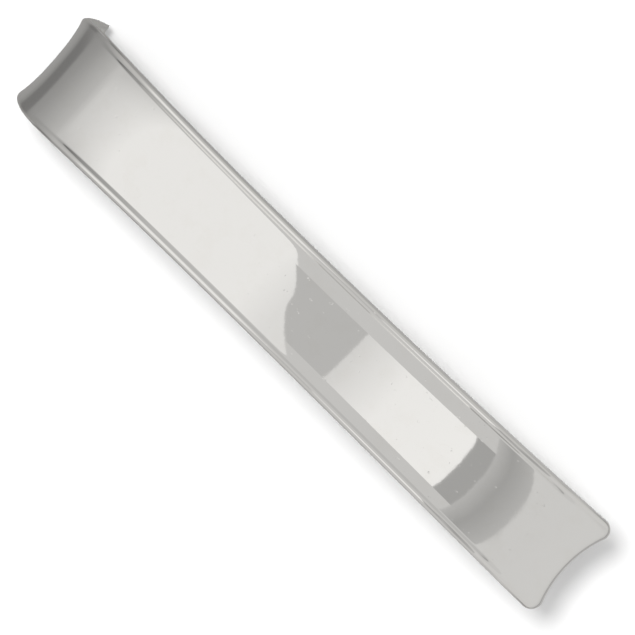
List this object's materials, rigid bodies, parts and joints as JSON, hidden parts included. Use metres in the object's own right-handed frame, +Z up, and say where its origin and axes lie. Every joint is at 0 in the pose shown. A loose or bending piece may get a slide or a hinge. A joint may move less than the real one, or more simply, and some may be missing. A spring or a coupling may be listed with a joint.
{
  "type": "money clip",
  "caption": "Slim sprung money clip: a dished, mirror-bright bar rolls over a hidden hinge at one end and closes on a flat back arm with a raised gripping nose.",
  "frame": {"origin": "on the flat surface that the back arm's underside rests on, under the middle of the clip's length and width", "axes": "+X runs along the clip from the hinge to the free tips, +Z is up out of the resting surface through the bar's bright face, and +Y completes a right-handed frame across the clip"},
  "size_m": [0.0568, 0.0092, 0.0079],
  "materials": {
    "polished_silver": "mirror polished silver with a bright rhodium look",
    "bracket_silver": "pressed silver, tumbled satin",
    "solder": "silver solder, slightly rough",
    "pin_silver": "polished silver",
    "arm_silver": "silver brushed along its length",
    "sleeve_brass": "drawn brass tube",
    "spring_steel": "drawn spring wire, lightly oiled"
  },
  "bodies": {
    "back": {"back_arm": "arm_silver", "torsion_spring": "spring_steel"},
    "front": {"front_bar": "polished_silver", "hinge_bracket": "bracket_silver", "solder_fillets": "solder", "hinge_pin": "pin_silver", "pin_collar": "pin_silver", "spring_sleeve": "sleeve_brass"}
  },
  "joints": [
    {"name": "front_hinge", "type": "hinge", "parent": "back", "child": "front", "pos_m": [-0.02539, 0, 0.00335], "axis": [0, -1, 0], "range_deg": [0, 60], "stiffness_Nm_per_rad": 0.03, "springref_deg": -57.3, "deforming": ["torsion_spring"]}
  ]
}
